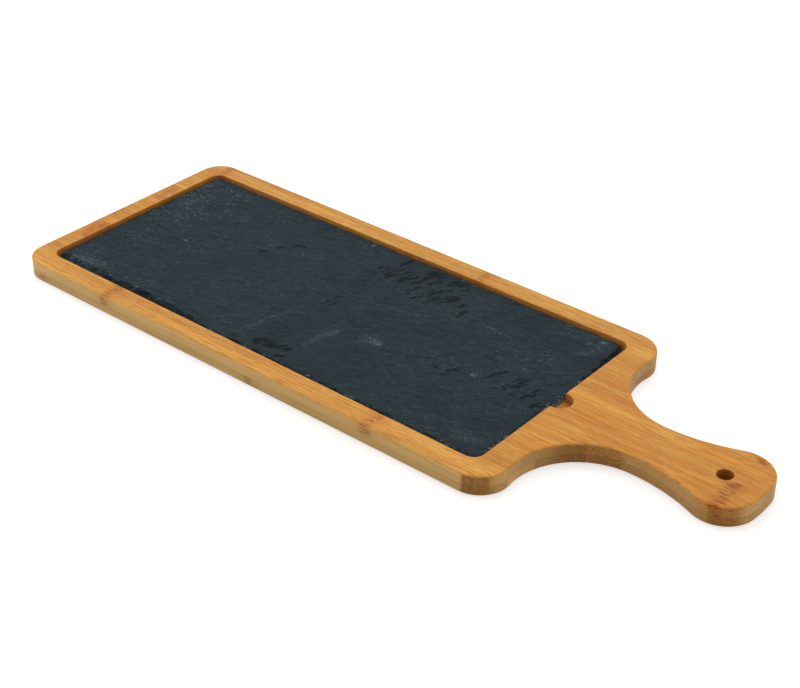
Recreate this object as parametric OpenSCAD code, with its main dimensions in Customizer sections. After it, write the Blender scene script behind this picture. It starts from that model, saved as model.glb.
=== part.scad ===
// Slate serving board: a paddle-shaped board glued up from flat bamboo strips in two plies,
// with a routed recess that holds one loose slate slab.
// X runs from the plain end to the grip, Z is up, and the origin is under the board's middle.

/* [Board] */
// Width of the body, over both long rims
board_w = 150; // [140:1:160]
// Length of the body, from the plain end to the shoulders
body_l = 316; // [296:1:336]
// Length of the grip, from the shoulders to its tip
grip_l = 96; // [90:1:104]
// Thickness of the upper ply
upper_ply_t = 6; // [5.5:0.1:7.5]
// Thickness of the lower ply
lower_ply_t = 5; // [4:0.1:7]
// Radius of the two corners at the plain end
end_corner_r = 13; // [8:0.5:18]
// Radius of the two shoulder corners
shoulder_r = 16; // [12:0.5:20]

/* [Grip] */
// Width of the neck at its narrowest place
neck_w = 29; // [26:0.5:33]
// Radius of the hollow between a shoulder and the neck
shoulder_hollow_r = 37; // [33:0.5:40]
// Radius of the long hollow that the hand closes round
grip_hollow_r = 92; // [80:1:110]
// Radius of the grip's two end corners
grip_corner_r = 17; // [14:0.5:18]
// Radius of the grip's gently curved tip
tip_r = 90; // [70:1:120]
// Diameter of the hanging hole
hang_hole_d = 8; // [6:0.5:9]
// Distance from the hanging hole's centre to the tip
hang_hole_inset = 20.5; // [16:0.5:26]

/* [Recess] */
// Width of the rim at the plain end
end_rim_w = 11; // [9:0.5:16]
// Width of the two long rims
side_rim_w = 12; // [9:0.5:16]
// Width of the rim between the recess and the shoulders
grip_rim_w = 15; // [13:0.5:20]
// Depth of the recess below the rim
recess_d = 5; // [3:0.1:5.3]
// Radius that the cutter leaves in the recess corners
recess_corner_r = 6; // [5:0.5:9]
// Radius of the half-round finger notch
notch_r = 6.5; // [5:0.1:9]
// How far the notch's centre lies beyond the recess, in the rim
notch_out = 1.2; // [0:0.1:2]

/* [Bamboo strips] */
// Share of the body's width that one strip has. The two outermost of each ply take what is left.
strip_w_share = 0.1266; // [0.119:0.0002:0.133]
// How far the middle glue seam lies beside the board's long axis
middle_seam_off = 2; // [1:0.1:3.5]

/* [Slate slab] */
// Play between the slab and the recess, on every side
slate_gap = 1; // [0.5:0.1:2]
// Thickness of the slab
slate_t = 3.5; // [2.5:0.1:4.5]
// Narrowest chipped bevel round the slab's upper edge
chip_min = 0.7; // [0.4:0.1:1.2]
// Widest chipped bevel round the slab's upper edge
chip_max = 2.8; // [1.5:0.1:3.2]
// How far the slab's broken edge wavers in and out
edge_waver = 0.45; // [0.1:0.05:0.6]

/* [Hidden] */
strip_rows = 8;
middle_row = strip_rows / 2;
rows = [1:strip_rows];
$fn = 180;

// How far every cut runs past the faces it opens
overrun = 0.2;
half_w = board_w / 2;
strip_w = strip_w_share * board_w;
neck_half_w = neck_w / 2;
board_l = body_l + grip_l;
board_t = lower_ply_t + upper_ply_t;
recess_l = body_l - end_rim_w - grip_rim_w;
recess_w = board_w - 2 * side_rim_w;
recess_floor_z = board_t - recess_d;
recess_end_x = end_rim_w + recess_l;
hang_hole_x = board_l - hang_hole_inset;

// Unit vector from one point to another, and the place that lies a given way along it
function toward(from, to) = (to - from) / norm(to - from);
function along(from, to, way) = from + way * toward(from, to);

// Where two circles cross, to the left of the way from the first centre to the second
function circle_crossing(c1, r1, c2, r2) =
    let (
        gap = norm(c2 - c1),
        foot = (r1 * r1 - r2 * r2 + gap * gap) / (2 * gap),
        rise = sqrt(r1 * r1 - foot * foot),
        dir = toward(c1, c2)
    )
    c1 + foot * dir + rise * [-dir.y, dir.x];

// Arc centres of the outline's upper half, each tangent to the next
shoulder_c = [body_l - shoulder_r, half_w - shoulder_r];
hollow_y = neck_half_w + shoulder_hollow_r;
hollow_reach = shoulder_r + shoulder_hollow_r;
hollow_drop = hollow_y - shoulder_c.y;
neck_x = shoulder_c.x + sqrt(hollow_reach * hollow_reach - hollow_drop * hollow_drop);
hollow_c = [neck_x, hollow_y];
grip_hollow_c = [neck_x, neck_half_w + grip_hollow_r];
tip_c = [board_l - tip_r, 0];
grip_corner_c = circle_crossing(grip_hollow_c, grip_hollow_r + grip_corner_r, tip_c, tip_r - grip_corner_r);

module discs_on_both_sides(centre, r) {
    for (side = [-1, 1]) translate([centre.x, side * centre.y]) circle(r = r);
}

// Four-cornered blank between two arc centres and their mirror images
module blank_between(c_low, c_high) {
    polygon([[c_low.x, -c_low.y], [c_high.x, -c_high.y], c_high, c_low]);
}

module box_between(low, high) {
    translate(low) square(high - low);
}

module centred_box(x_from, x_to, half_y) {
    box_between([x_from, -half_y], [x_to, half_y]);
}

// Rectangular part of the body, with its four round corners
module body_outline() {
    centred_box(end_corner_r, shoulder_c.x, half_w);
    centred_box(0, end_corner_r, half_w - end_corner_r);
    discs_on_both_sides([end_corner_r, half_w - end_corner_r], end_corner_r);
    discs_on_both_sides(shoulder_c, shoulder_r);
}

// Part between the shoulders and the neck, hollowed on both sides
module neck_outline() {
    difference() {
        blank_between(shoulder_c, hollow_c);
        discs_on_both_sides(hollow_c, shoulder_hollow_r);
    }
}

// Part from the neck to the tip
module grip_outline() {
    past_edge = along(tip_c, grip_corner_c, tip_r + overrun);
    difference() {
        blank_between(grip_hollow_c, grip_corner_c);
        discs_on_both_sides(grip_hollow_c, grip_hollow_r);
    }
    discs_on_both_sides(grip_corner_c, grip_corner_r);
    intersection() {
        translate(tip_c) circle(r = tip_r);
        polygon([tip_c, [past_edge.x, -past_edge.y], past_edge]);
    }
}

module board_outline() {
    body_outline();
    neck_outline();
    grip_outline();
}

module recess_outline() {
    straight_y = recess_w / 2 - recess_corner_r;
    centred_box(end_rim_w + recess_corner_r, recess_end_x - recess_corner_r, recess_w / 2);
    centred_box(end_rim_w, recess_end_x, straight_y);
    for (x = [end_rim_w + recess_corner_r, recess_end_x - recess_corner_r])
        discs_on_both_sides([x, straight_y], recess_corner_r);
}

// Glue seam below each row of strips, counted from the +Y edge
function seam_y(row) = (middle_row - row) * strip_w - middle_seam_off;

// Only the two middle rows run on through the neck, and the lower one takes the grip's -Y bulge
module strip_zone(row) {
    y_low = row == strip_rows ? -half_w : seam_y(row);
    y_high = row == 1 ? half_w : seam_y(row - 1);
    box_between([0, y_low], [neck_x, y_high]);
    if (row == middle_row) box_between([neck_x, y_low], [board_l, y_high]);
    if (row == middle_row + 1) box_between([neck_x, -half_w], [board_l, y_high]);
}

// The neck cuts the row above the middle ones in two, and its far end is the grip's +Y bulge
module grip_end_zone() {
    box_between([neck_x, seam_y(middle_row - 1)], [board_l, half_w]);
}

module hang_hole() {
    translate([hang_hole_x, 0, -overrun]) cylinder(d = hang_hole_d, h = board_t + 2 * overrun);
}

// Recess and finger notch, cut to the same depth
module recess_cut() {
    translate([0, 0, recess_floor_z]) linear_extrude(recess_d + overrun) recess_outline();
    translate([recess_end_x + notch_out, 0, recess_floor_z])
        cylinder(r = notch_r, h = recess_d + overrun);
}

// Piece of a ply that lies in the given zone of the board's outline
module ply_piece(base_z, ply_t) {
    translate([-board_l / 2, 0]) difference() {
        translate([0, 0, base_z]) linear_extrude(ply_t) intersection() {
            board_outline();
            children();
        }
        recess_cut();
        hang_hole();
    }
}

module upper_strip(row) {
    color("#CE9450") ply_piece(lower_ply_t, upper_ply_t) strip_zone(row);
}

module upper_strip_3_grip_end() {
    color("#CE9450") ply_piece(lower_ply_t, upper_ply_t) grip_end_zone();
}

module lower_strip(row) {
    color("#B7985F") ply_piece(0, lower_ply_t) strip_zone(row);
}

module lower_strip_3_grip_end() {
    color("#B7985F") ply_piece(0, lower_ply_t) grip_end_zone();
}

// Slab's plan as [place, outward direction], walked anticlockwise with points at an even pitch.
// Its corners are rounded like those of the recess.
slate_l = recess_l - 2 * slate_gap;
slate_w = recess_w - 2 * slate_gap;
slate_corner_r = recess_corner_r;
long_side_points = 66;
short_side_points = 28;
corner_points = 4;
quarter_turn = 90;
function side_walk(from, to, out, points) =
    [for (i = [1:points]) [from + (to - from) * i / (points + 1), out]];
function corner_walk(centre, start) =
    [for (i = [0:corner_points - 1])
        let (turn = start + quarter_turn * i / (corner_points - 1), out = [cos(turn), sin(turn)])
        [centre + slate_corner_r * out, out]];
slate_edge_x = slate_l / 2;
slate_edge_y = slate_w / 2;
slate_flat_x = slate_edge_x - slate_corner_r;
slate_flat_y = slate_edge_y - slate_corner_r;
slate_plan = concat(
    side_walk([slate_edge_x, -slate_flat_y], [slate_edge_x, slate_flat_y], [1, 0], short_side_points),
    corner_walk([slate_flat_x, slate_flat_y], 0),
    side_walk([slate_flat_x, slate_edge_y], [-slate_flat_x, slate_edge_y], [0, 1], long_side_points),
    corner_walk([-slate_flat_x, slate_flat_y], quarter_turn),
    side_walk([-slate_edge_x, slate_flat_y], [-slate_edge_x, -slate_flat_y], [-1, 0], short_side_points),
    corner_walk([-slate_flat_x, -slate_flat_y], 2 * quarter_turn),
    side_walk([-slate_flat_x, -slate_edge_y], [slate_flat_x, -slate_edge_y], [0, -1], long_side_points),
    corner_walk([slate_flat_x, -slate_flat_y], 3 * quarter_turn)
);

// One ring of the slab's edge: drawn in by its own depth at every point, at its own heights
function slate_ring(depths, heights) =
    [for (i = [0:len(slate_plan) - 1])
        let (spot = slate_plan[i], flat = spot[0] - depths[i] * spot[1])
        [flat.x, flat.y, heights[i]]];

// Hewn slab: a blank with broken sides and a knapped bevel round its upper edge, trimmed flat
// above and below to the slab's thickness. Each chip starts between these shares of the thickness.
belly_low_share = 0.3;
belly_high_share = 0.62;
foot_seed = 11;
belly_seed = 23;
bevel_seed = 37;
height_seed = 41;
module hewn_blank() {
    points = len(slate_plan);
    foot_in = rands(0, edge_waver, points, foot_seed);
    belly_in = rands(0, edge_waver, points, belly_seed);
    bevel_in = rands(chip_min, chip_max, points, bevel_seed);
    belly_shares = rands(belly_low_share, belly_high_share, points, height_seed);
    belly_z = belly_shares * slate_t;
    high = slate_t + overrun;
    brow_in = [
        for (i = [0:points - 1])
            belly_in[i] + bevel_in[i] * (high - belly_z[i]) / (slate_t - belly_z[i])
    ];
    rings = concat(
        slate_ring(foot_in, [for (i = [1:points]) -overrun]),
        slate_ring(belly_in, belly_z),
        slate_ring(brow_in, [for (i = [1:points]) high])
    );
    under = [for (i = [0:points - 1]) i];
    above = [for (i = [0:points - 1]) len(rings) - 1 - i];
    sides = [
        for (ring = [0, 1], i = [0:points - 1])
            let (
                a = ring * points + i,
                b = ring * points + (i + 1) % points
            )
            each [[a, a + points, b], [b, a + points, b + points]]
    ];
    polyhedron(points = rings, faces = concat([under, above], sides));
}

module slate() {
    trim = [slate_l + overrun, slate_w + overrun, slate_t];
    color("#33404A")
    translate([end_rim_w + recess_l / 2 - board_l / 2, 0, recess_floor_z])
    intersection() {
        hewn_blank();
        translate([-trim.x / 2, -trim.y / 2]) cube(trim);
    }
}

for (row = rows) upper_strip(row);
upper_strip_3_grip_end();
for (row = rows) lower_strip(row);
lower_strip_3_grip_end();
slate();
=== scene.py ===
import math

import bmesh
import bpy
import numpy as np
from mathutils import Matrix, Vector


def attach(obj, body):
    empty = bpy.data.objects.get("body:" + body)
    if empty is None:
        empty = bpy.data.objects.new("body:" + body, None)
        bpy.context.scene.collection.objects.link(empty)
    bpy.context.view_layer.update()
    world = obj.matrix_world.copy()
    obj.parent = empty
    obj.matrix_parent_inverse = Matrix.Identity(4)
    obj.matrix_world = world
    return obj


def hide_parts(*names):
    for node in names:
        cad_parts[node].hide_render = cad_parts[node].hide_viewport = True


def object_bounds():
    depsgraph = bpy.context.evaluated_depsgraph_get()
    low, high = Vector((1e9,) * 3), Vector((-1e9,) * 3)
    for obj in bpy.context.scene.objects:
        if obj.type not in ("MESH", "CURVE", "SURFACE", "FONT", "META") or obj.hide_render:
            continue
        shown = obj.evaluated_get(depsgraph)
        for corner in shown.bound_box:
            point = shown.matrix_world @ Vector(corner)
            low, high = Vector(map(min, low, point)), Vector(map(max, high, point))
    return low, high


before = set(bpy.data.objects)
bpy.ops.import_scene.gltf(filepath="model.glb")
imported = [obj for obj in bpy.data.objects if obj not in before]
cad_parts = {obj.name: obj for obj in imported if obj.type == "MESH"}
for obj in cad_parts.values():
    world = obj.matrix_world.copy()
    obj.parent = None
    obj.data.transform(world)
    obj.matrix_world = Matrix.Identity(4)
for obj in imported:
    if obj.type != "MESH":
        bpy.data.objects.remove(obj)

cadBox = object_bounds()
mm = 0.001

# Shapes are worked out in millimetres along the board: x from the plain end to the grip's tip,
# y across from its long axis, z up from the table. frameShift then puts x where the frame has it.
board = {
    "width": 150,
    "bodyLength": 316,
    "gripLength": 96,
    "lowerPly": 5,
    "upperPly": 6,
    "endCorner": 13,
    "shoulder": 16,
    "neckWidth": 29,
    "shoulderHollow": 37,
    "gripHollow": 92,
    "gripCorner": 17,
    "tip": 90,
    "hole": 8,
    "holeInset": 20.5,
    "endRim": 11,
    "sideRim": 12,
    "gripRim": 15,
    "recessDepth": 5,
    "recessCorner": 6,
    "notch": 6.5,
    "notchOut": 1.2,
    "stripPitch": 18.99,
    "middleSeam": 2,
}
# How far the sander and the router's bits took the sharp edges down. Curves have a point every
# pointPitch, an eased edge has so many steps, and a flat band beside it, as wide as support, keeps
# the shading flat beyond.
easing = {
    "outer": 1.1,
    "recess": 0.45,
    "hole": 0.3,
    "lip": 0.6,
    "floor": 0.4,
    "steps": 6,
    "pointPitch": 0.9,
    "support": 0.3,
}

boardLength = board["bodyLength"] + board["gripLength"]
boardThickness = board["lowerPly"] + board["upperPly"]
frameShift = -boardLength / 2
tipLimit = cadBox[1][0] / mm
floorHeight = boardThickness - board["recessDepth"]
holeX = boardLength - board["holeInset"]
cutTolerance = 1e-4  # points this near a cutting plane count as on it
sameSpot = 1e-3  # and points this near each other as one, give or take rounding
sharpAngle = 38  # in degrees: an edge that bends more is shaded as an edge

# settings that many of the materials' nodes share
mix, smooth = {"data_type": "RGBA"}, {"interpolation_type": "SMOOTHSTEP"}
times, plus, minus, timesPlus, unsigned, greatest, scaled = (
    {"operation": name}
    for name in ("MULTIPLY", "ADD", "SUBTRACT", "MULTIPLY_ADD", "ABSOLUTE", "MAXIMUM", "SCALE"))


def srgb(text):
    # a hex colour as it shows on a screen, turned to the linear values that shaders use
    levels = [int(text[i:i + 2], 16) / 255 for i in (1, 3, 5)]
    linear = [v / 12.92 if v <= 0.04045 else ((v + 0.055) / 1.055) ** 2.4 for v in levels]
    return (*linear, 1.0)


def nodeAdder(owner):
    # empties the node tree of a material or of the world, and gives the function that adds to it
    owner.use_nodes = True
    tree = owner.node_tree
    tree.nodes.clear()

    def add(kind, settings=None, inputs=()):
        # a node with its settings, its inputs filled in order or by key, from values or other nodes
        node = tree.nodes.new("ShaderNode" + kind)
        for key, value in (settings or {}).items():
            setattr(node, key, value)
        for key, value in inputs.items() if isinstance(inputs, dict) else enumerate(inputs):
            socket = node.inputs[key]
            if isinstance(value, bpy.types.Node):
                value = next(o for o in value.outputs if o.enabled)
            if isinstance(value, bpy.types.NodeSocket):
                tree.links.new(value, socket)
            else:
                socket.default_value = value
        return node
    return add


def placed(name, data):
    # an object of the scene made from a mesh, light or camera
    made = bpy.data.objects.new(name, data)
    bpy.context.scene.collection.objects.link(made)
    return made


def arc(centre, radius, start, end, hollow=False):
    # rows of x, y and the outward direction along an arc; a hollow one has the wood outside it
    whole = 2 * math.pi
    sweep = (start - end) % whole if hollow else (end - start) % whole or whole
    end = start - sweep if hollow else start + sweep
    count = max(4, math.ceil(sweep * radius / easing["pointPitch"]))
    turn = np.linspace(start, end, count + 1)
    way = np.stack([np.cos(turn), np.sin(turn)], 1)
    return np.hstack([np.array(centre) + radius * way, -way if hollow else way])


def bearing(start, end):
    return math.atan2(end[1] - start[1], end[0] - start[0])


def mirroredLoop(half):
    # closes a loop from its +Y half, which runs from the grip side to the plain end
    nothing = 1e-6
    moved = [True, *(np.hypot(*np.diff(half[:, :2], axis=0).T) > nothing)]
    upper = half[moved]
    lower = upper[::-1] * [1, -1, 1, -1]
    return np.vstack([upper, lower[np.abs(lower[:, 1]) > nothing]])


def paddleLoop():
    b = board
    halfWidth, neck = b["width"] / 2, b["neckWidth"] / 2
    shoulder = np.array([b["bodyLength"] - b["shoulder"], halfWidth - b["shoulder"]])
    hollowY = neck + b["shoulderHollow"]
    reach = b["shoulder"] + b["shoulderHollow"]
    neckX = shoulder[0] + math.sqrt(reach ** 2 - (hollowY - shoulder[1]) ** 2)
    hollow = np.array([neckX, hollowY])
    gripHollow = np.array([neckX, neck + b["gripHollow"]])
    tip = np.array([boardLength - b["tip"], 0.0])
    # the grip's end corner touches both the long hollow and the curved tip
    far, near = b["gripHollow"] + b["gripCorner"], b["tip"] - b["gripCorner"]
    gap = np.linalg.norm(tip - gripHollow)
    foot = (far ** 2 - near ** 2 + gap ** 2) / (2 * gap)
    rise = math.sqrt(far ** 2 - foot ** 2)
    direction = (tip - gripHollow) / gap
    corner = gripHollow + foot * direction + rise * np.array([-direction[1], direction[0]])
    endCorner = np.array([b["endCorner"], halfWidth - b["endCorner"]])
    half = np.vstack([
        arc(tip, b["tip"], 0, bearing(tip, corner)),
        arc(corner, b["gripCorner"], bearing(tip, corner), bearing(corner, gripHollow)),
        arc(gripHollow, b["gripHollow"], bearing(gripHollow, corner), -math.pi / 2, True),
        arc(hollow, b["shoulderHollow"], -math.pi / 2, bearing(hollow, shoulder), True),
        arc(shoulder, b["shoulder"], bearing(shoulder, hollow), math.pi / 2),
        arc(endCorner, b["endCorner"], math.pi / 2, math.pi),
    ])
    return mirroredLoop(half), neckX


def recessLoop():
    b, lip = board, easing["lip"]
    endX = b["bodyLength"] - b["gripRim"]
    notchX = endX + b["notchOut"]
    side = b["width"] / 2 - b["sideRim"]
    r = b["recessCorner"]
    # the wood's corner where the notch opens into the recess is broken with a small radius
    lipX = endX + lip
    lipY = math.sqrt((b["notch"] + lip) ** 2 - (lipX - notchX) ** 2)
    turned = bearing((notchX, 0), (lipX, lipY))
    half = np.vstack([
        arc((notchX, 0), b["notch"], 0, turned),
        arc((lipX, lipY), lip, turned + math.pi, math.pi, True),
        arc((endX - r, side - r), r, 0, math.pi / 2),
        arc((b["endRim"] + r, side - r), r, math.pi / 2, math.pi),
    ])
    return mirroredLoop(half)


def eased(radius, side, level, up):
    # (offset, height) from the flat face at that level, over its eased edge, to the wall; side is
    # 1 where the face lies outward of the wall and up is 1 where the wall rises from the face
    beyond = radius + easing["support"]
    turns = np.linspace(0, math.pi / 2, easing["steps"] + 1)
    quarter = [(side * radius * (1 - math.sin(t)), level + up * radius * (1 - math.cos(t)))
               for t in turns]
    return [(side * beyond, level), *quarter, (0, level + up * beyond)]


def band(bm, low, high):
    # a closed band of quads between two rings of vertices
    for i in range(len(low)):
        k = (i + 1) % len(low)
        bm.faces.new((low[i], low[k], high[k], high[i]))


def rings(bm, loop, profile):
    # a wall of quads: one ring of vertices for each (offset along the outward direction, height)
    rows = []
    for offset, height in profile:
        spots = loop[:, :2] + loop[:, 2:] * offset
        rows.append([bm.verts.new((min(x + frameShift, tipLimit), y, height)) for x, y in spots])
    for low, high in zip(rows, rows[1:]):
        band(bm, low, high)
    return rows


def closeFlat(bm, ringsOfVerts, up):
    # fills the flat face between rings, the first one outside and the others holes
    edges = [bm.edges.get((ring[i - 1], ring[i]))
             for ring in ringsOfVerts for i in range(len(ring))]
    bmesh.ops.triangle_fill(bm, use_beauty=True, edges=edges, normal=up)


def wholeBoard():
    # the board as one closed shell with eased edges, before it is parted at the glue lines
    bm = bmesh.new()
    top, e = boardThickness, easing
    outer = eased(e["outer"], -1, 0, 1) + eased(e["outer"], -1, top, -1)[::-1]
    hole = eased(e["hole"], 1, 0, 1) + eased(e["hole"], 1, top, -1)[::-1]
    recess = eased(e["floor"], -1, floorHeight, 1)[:-1] + eased(e["recess"], 1, top, -1)[::-1]
    walls = rings(bm, outlineLoop, outer)
    bore = rings(bm, arc((holeX, 0), board["hole"] / 2, 0, 2 * math.pi)[:-1], hole)
    pocket = rings(bm, recessLoop(), recess)
    closeFlat(bm, [walls[0], bore[0]], (0, 0, -1))
    closeFlat(bm, [walls[-1], bore[-1], pocket[-1]], (0, 0, 1))
    closeFlat(bm, [pocket[0]], (0, 0, 1))
    bmesh.ops.recalc_face_normals(bm, faces=bm.faces)
    return bm


def cutAway(bm, spot, direction):
    # takes off what lies beyond a plane, on the side that direction points to, and closes the cut
    cut = bmesh.ops.bisect_plane(
        bm, geom=bm.verts[:] + bm.edges[:] + bm.faces[:], dist=cutTolerance,
        plane_co=spot, plane_no=direction, clear_outer=True)
    edges = [part for part in cut["geom_cut"] if isinstance(part, bmesh.types.BMEdge)]
    if edges:
        bmesh.ops.triangle_fill(bm, use_beauty=True, edges=edges, normal=direction)


outlineLoop, neckX = paddleLoop()
neckLine = neckX + frameShift
shell = wholeBoard()
print("board shell:", len(shell.verts), "vertices")


def seamBelow(row):
    return (4 - row) * board["stripPitch"] - board["middleSeam"]


def parted(low, high, fromX=None, toX=None, ply="upper"):
    # the shell's part between two glue lines, and between two places along the board
    bm = shell.copy()
    joint = board["lowerPly"]
    cutAway(bm, (0, 0, joint), (0, 0, -1) if ply == "upper" else (0, 0, 1))
    for x, direction in ((fromX, (-1, 0, 0)), (toX, (1, 0, 0))):
        if x is not None:
            cutAway(bm, (x, 0, 0), direction)
    for y, direction in ((high, (0, 1, 0)), (low, (0, -1, 0))):
        if y is not None:
            cutAway(bm, (0, y, 0), direction)
    return bm


def joined(first, second, x, y):
    # one strip from two parts that meet at x, without a wall between them
    for part in (first, second):
        part.normal_update()
        walls = [f for f in part.faces
                 if abs(f.calc_center_median().x - x) < sameSpot and abs(f.normal.x) > 0.99]
        bmesh.ops.delete(part, geom=walls, context="FACES_ONLY")
        # a vertex half way up the corner at y would have no partner in the other part
        rim = [v for v in part.verts if abs(v.co.x - x) < sameSpot and abs(v.co.y - y) < sameSpot]
        levels = sorted(v.co.z for v in rim)
        spare = [v for v in rim if levels[0] + sameSpot < v.co.z < levels[-1] - sameSpot]
        bmesh.ops.dissolve_verts(part, verts=spare)
    spare = bpy.data.meshes.new("spare")
    second.to_mesh(spare)
    first.from_mesh(spare)
    bpy.data.meshes.remove(spare)
    near = [v for v in first.verts if abs(v.co.x - x) < sameSpot]
    bmesh.ops.remove_doubles(first, verts=near, dist=2 * sameSpot)
    return first


# Each strip: tone is how light its wood is, orange how orange its patches, joints where its two
# nearest culm joints lie along the board, in millimetres, and knots how plain they are to see.
# It is glued up from two lamellas. For the one towards -Y and the one towards +Y, ends gives the
# tone and dots the share of dark dots where a cut crosses the fibres. grainOnSide is how much of
# that end grain shows even where the side runs along the board. A value left out is the usual one.
usual = {"orange": 0.8, "knots": 0.4, "grainOnSide": 0.0}
strips = {
    "upper_strip_1": {"tone": 0.98, "orange": 0.3, "knots": 0.6, "joints": (12.6, 205.2),
        "ends": (1.02, 0.95), "dots": (0.9, 1.0)},
    "upper_strip_2": {"tone": 0.93, "orange": 1.0, "knots": 0.6, "joints": (-90, 262),
        "ends": (0.95, 1.08), "dots": (1.0, 0.4)},
    "upper_strip_3": {"tone": 0.96, "orange": 1.7, "knots": 0.6, "joints": (6, 430),
        "ends": (1.10, 0.96), "dots": (0.5, 1.0)},
    "upper_strip_3_grip_end": {"tone": 0.98, "orange": 0.7, "knots": 0.9, "joints": (399, 640),
        "ends": (0.96, 1.10), "dots": (1.0, 0.6), "grainOnSide": 0.6},
    "upper_strip_4": {"tone": 0.99, "orange": 1.6, "knots": 0.7, "joints": (-60, 214),
        "ends": (1.0, 1.12), "dots": (1.0, 0.5), "grainOnSide": 0.6},
    "upper_strip_5": {"tone": 0.99, "orange": 1.6, "knots": 0.95, "joints": (-1, 399.5),
        "ends": (1.24, 1.14), "dots": (0.6, 0.9), "grainOnSide": 0.6},
    "upper_strip_6": {"tone": 0.98, "orange": 2.0, "knots": 0.7, "joints": (8, 232),
        "ends": (0.98, 0.98), "dots": (1.0, 0.8)},
    "upper_strip_7": {"tone": 0.96, "orange": 1.3, "knots": 0.6, "joints": (38, 440),
        "ends": (1.08, 0.96), "dots": (0.3, 0.3)},
    "upper_strip_8": {"tone": 1.01, "orange": 0.3, "knots": 0.75, "joints": (66.3, 245.4),
        "ends": (1.06, 1.17), "dots": (1.0, 0.25)},
    "lower_strip_1": {"tone": 1.02, "joints": (54, 290), "ends": (1.0, 0.96), "dots": (1.0, 1.0)},
    "lower_strip_2": {"tone": 0.98, "joints": (130, 420), "ends": (1.1, 0.98), "dots": (0.5, 1.0)},
    "lower_strip_3": {"tone": 1.00, "joints": (20, 246), "ends": (0.96, 1.06), "dots": (1.0, 0.6)},
    "lower_strip_3_grip_end": {"tone": 0.98, "joints": (640, 900),
        "ends": (1.0, 1.0), "dots": (1.0, 0.8), "grainOnSide": 0.6},
    "lower_strip_4": {"tone": 1.01, "joints": (76, 340),
        "ends": (1.06, 1.0), "dots": (0.7, 1.0), "grainOnSide": 0.6},
    "lower_strip_5": {"tone": 0.97, "joints": (170, 404),
        "ends": (1.24, 1.14), "dots": (0.6, 0.9), "grainOnSide": 0.6},
    "lower_strip_6": {"tone": 1.02, "joints": (112, 300), "ends": (0.96, 0.98), "dots": (1.0, 0.9)},
    "lower_strip_7": {"tone": 0.99, "joints": (60, 262), "ends": (1.45, 1.30), "dots": (0.1, 0.2)},
    "lower_strip_8": {"tone": 1.00, "joints": (16, 170), "ends": (1.10, 1.10), "dots": (1.0, 0.6)},
}


def stripShape(name):
    ply = name.split("_")[0]
    if name.endswith("grip_end"):
        return parted(seamBelow(3), None, fromX=neckLine, ply=ply)
    row = int(name.split("_")[-1])
    low = None if row == 8 else seamBelow(row)
    high = None if row == 1 else seamBelow(row - 1)
    if row == 4:  # runs whole through the neck
        return parted(low, high, ply=ply)
    if row == 5:  # past the neck it also takes the grip's -Y bulge
        body = parted(low, high, toX=neckLine, ply=ply)
        grip = parted(None, high, fromX=neckLine, ply=ply)
        return joined(body, grip, neckLine, high)
    return parted(low, high, toX=neckLine, ply=ply)


def pieceFrom(bm, name, body, material, replaced):
    # turns a shape in millimetres into an object of the scene that rides on a body of the frame
    bmesh.ops.recalc_face_normals(bm, faces=bm.faces)
    bmesh.ops.transform(bm, matrix=Matrix.Scale(mm, 4), verts=bm.verts)
    mesh = bpy.data.meshes.new(name)
    bm.to_mesh(mesh)
    bm.free()
    mesh.shade_smooth()
    mesh.set_sharp_from_angle(angle=math.radians(sharpAngle))
    mesh.materials.append(material)
    piece = placed(name, mesh)
    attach(piece, body)
    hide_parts(replaced)
    return piece


def mark(mesh, name, values):
    # a number at every vertex, which the material reads by name
    layer = mesh.attributes.new(name, "FLOAT", "POINT")
    layer.data.foreach_set("value", np.broadcast_to(values, len(mesh.vertices)).astype(np.float32))


def places(mesh):
    # the vertices' places along the board, in millimetres
    flat = np.empty(len(mesh.vertices) * 3, np.float32)
    mesh.vertices.foreach_get("co", flat)
    return flat.reshape(-1, 3) / mm - np.array([frameShift, 0, 0])


# Carbonised bamboo, planed, sanded and oiled: steamed until it is amber all through, in long fibres
# that show as fine streaks along a face and as brown dots where a cut crosses them.
bambooLooks = {
    "upper_bamboo": {
        "name": "carbonisedBambooOiled",
        "light": "#E3AB4E",
        "dark": "#B8772C",
        "blush": "#CC7A1A",
        "dash": "#B4661A",
        "sideLight": "#D8B272",
        "sideDark": "#C29A5A",
        "grainLight": "#AE7A3A",
        "grainDark": "#8A5C28",
        # painted light: the paler end grain of walls that face straight along the board
        "paintedLitEnd": "#C39A5C",
        "bundle": "#5C3714",
        "joint": "#863F08",
        "glue": "#7E4A1C",
        "scorch": "#8E4A12",
    },
    "lower_bamboo": {
        "name": "carbonisedBambooOiledLowerPly",
        "light": "#DBA24C",
        "dark": "#B47832",
        "blush": "#BE7430",
        "dash": "#9E5E22",
        "sideLight": "#D0AA6A",
        "sideDark": "#B68E50",
        "grainLight": "#A27236",
        "grainDark": "#7F5424",
        # painted light: the paler end grain of walls that face straight along the board
        "paintedLitEnd": "#B98F52",
        "bundle": "#523112",
        "joint": "#7E4318",
        "glue": "#70421A",
        "scorch": "#8E4A12",
    },
}
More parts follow.
